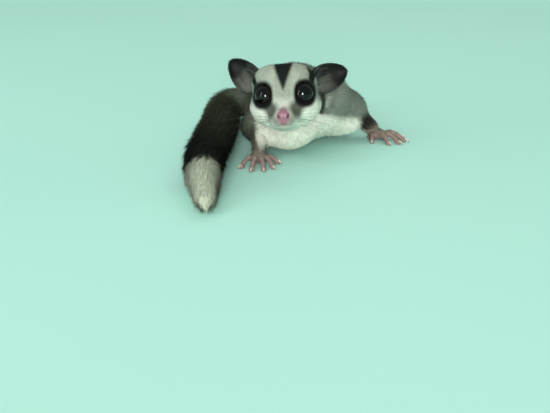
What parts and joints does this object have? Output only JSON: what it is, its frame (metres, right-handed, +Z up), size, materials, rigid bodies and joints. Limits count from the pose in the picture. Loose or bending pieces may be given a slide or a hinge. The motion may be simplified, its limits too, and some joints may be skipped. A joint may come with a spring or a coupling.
{
  "type": "sugar glider",
  "caption": "Still, life-size sugar glider crouching on all fours, face raised, one hand reaching out and the bushy tail laid forward beside it.",
  "frame": {"origin": "middle of the animal's bounding box, on the floor it rests on", "axes": "+Z up; the face looks along -Y; the animal's own left is +X"},
  "size_m": [0.103, 0.1616, 0.0447],
  "materials": {
    "grey_fur": "soft short fur, grey with dark marks",
    "pale_fur": "soft cream-white fur",
    "dark_fur": "bushy brown-black fur",
    "bare_skin": "thin, finely creased bare skin",
    "nose_skin": "moist pink skin",
    "eye": "wet, glossy black"
  },
  "bodies": {
    "root": {"abdomen": "grey_fur", "chest": "grey_fur", "ear_left": "bare_skin", "ear_right": "bare_skin", "eye_left": "eye", "eye_right": "eye", "foot_left": "bare_skin", "foot_right": "bare_skin", "forearm_left": "grey_fur", "forearm_right": "grey_fur", "hand_left": "bare_skin", "hand_right": "bare_skin", "head": "grey_fur", "membrane_left": "grey_fur", "membrane_right": "grey_fur", "neck": "pale_fur", "nose": "nose_skin", "shin_left": "grey_fur", "shin_right": "grey_fur", "tail_base": "grey_fur", "tail_dark_end": "dark_fur", "tail_middle": "dark_fur", "tail_white_tip": "pale_fur", "thigh_left": "grey_fur", "thigh_right": "grey_fur", "upper_arm_left": "grey_fur", "upper_arm_right": "grey_fur"}
  },
  "joints": []
}
